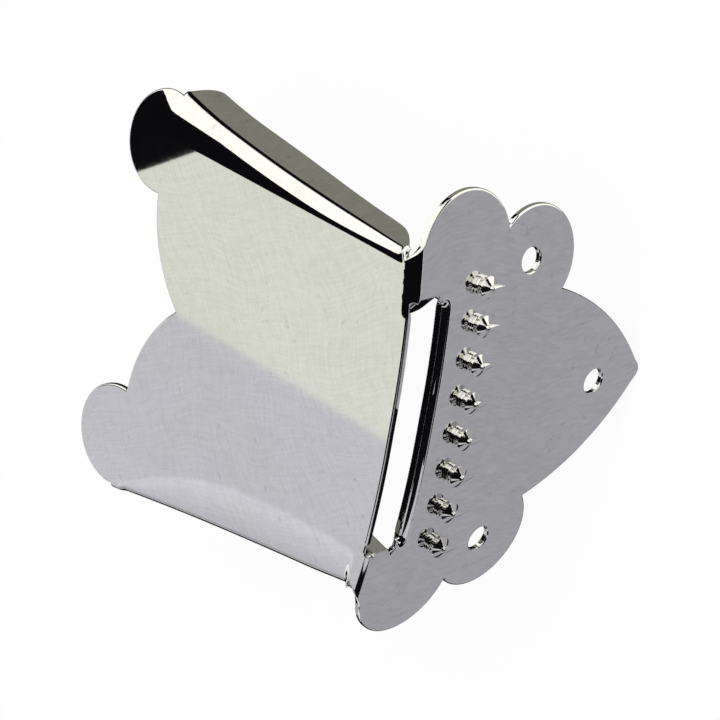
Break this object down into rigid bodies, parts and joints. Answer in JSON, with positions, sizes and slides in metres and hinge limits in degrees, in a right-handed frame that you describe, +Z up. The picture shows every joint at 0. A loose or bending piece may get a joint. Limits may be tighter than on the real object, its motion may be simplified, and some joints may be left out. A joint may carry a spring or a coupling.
{
  "type": "mandolin tailpiece",
  "caption": "Plated sheet tailpiece: a lobed upright plate with a row of riveted string hooks, bent over into a lobed cover with turned-down sides.",
  "frame": {"origin": "on the plate's back face, on the centre line, level with the two upper screw holes", "axes": "+X across the tailpiece, +Y from the plate into the instrument, +Z up from the plate's point to the cover"},
  "size_m": [0.0598, 0.056, 0.046],
  "materials": {
    "plated_sheet": "polished plating with fine scratches",
    "plated_hook": "bright turned and plated pin"
  },
  "bodies": {
    "root": {"tail_bracket": "plated_sheet", "string_hook_1": "plated_hook", "string_hook_2": "plated_hook", "string_hook_3": "plated_hook", "string_hook_4": "plated_hook", "string_hook_5": "plated_hook", "string_hook_6": "plated_hook", "string_hook_7": "plated_hook", "string_hook_8": "plated_hook"}
  },
  "joints": []
}
